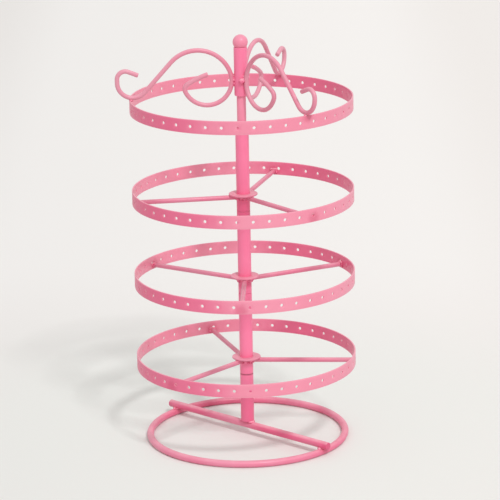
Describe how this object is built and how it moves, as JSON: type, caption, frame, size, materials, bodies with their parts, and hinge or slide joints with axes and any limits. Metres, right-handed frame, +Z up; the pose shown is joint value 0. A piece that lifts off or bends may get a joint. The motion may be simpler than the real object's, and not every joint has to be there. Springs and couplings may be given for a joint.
{
  "type": "rotating jewelry stand",
  "caption": "Revolving jewelry stand: perforated hoops on spoked hubs turn one above another round a post, below a hoop hung from wire scrolls and a ball; it stands on a rod ring.",
  "frame": {"origin": "on the spindle axis, on the surface that the base ring stands on", "axes": "+Z up along the spindle, -Y towards the front of the picture"},
  "size_m": [0.1752, 0.1693, 0.3092],
  "materials": {
    "pink_paint": "satin pink powder coat"
  },
  "bodies": {
    "base": {"base_ring": "pink_paint", "base_crossbar": "pink_paint", "base_post": "pink_paint", "spindle": "pink_paint"},
    "tier_1": {"ring_1": "pink_paint", "scrolls": "pink_paint", "finial_sleeve": "pink_paint", "finial_ball": "pink_paint"},
    "tier_2": {"ring_2": "pink_paint", "hub_tube_2": "pink_paint", "flange_2": "pink_paint", "spoke_2_1": "pink_paint", "spoke_2_2": "pink_paint", "spoke_2_3": "pink_paint"},
    "tier_3": {"ring_3": "pink_paint", "hub_tube_3": "pink_paint", "flange_3": "pink_paint", "spoke_3_1": "pink_paint", "spoke_3_2": "pink_paint", "spoke_3_3": "pink_paint"},
    "tier_4": {"ring_4": "pink_paint", "hub_tube_4": "pink_paint", "flange_4": "pink_paint", "spoke_4_1": "pink_paint", "spoke_4_2": "pink_paint", "spoke_4_3": "pink_paint"}
  },
  "joints": [
    {"name": "tier_1_spin", "type": "hinge", "parent": "base", "child": "tier_1", "pos_m": [0, 0, 0], "axis": [0, 0, 1], "continuous": true},
    {"name": "tier_2_spin", "type": "hinge", "parent": "base", "child": "tier_2", "pos_m": [0, 0, 0], "axis": [0, 0, 1], "continuous": true},
    {"name": "tier_3_spin", "type": "hinge", "parent": "base", "child": "tier_3", "pos_m": [0, 0, 0], "axis": [0, 0, 1], "continuous": true},
    {"name": "tier_4_spin", "type": "hinge", "parent": "base", "child": "tier_4", "pos_m": [0, 0, 0], "axis": [0, 0, 1], "continuous": true}
  ]
}
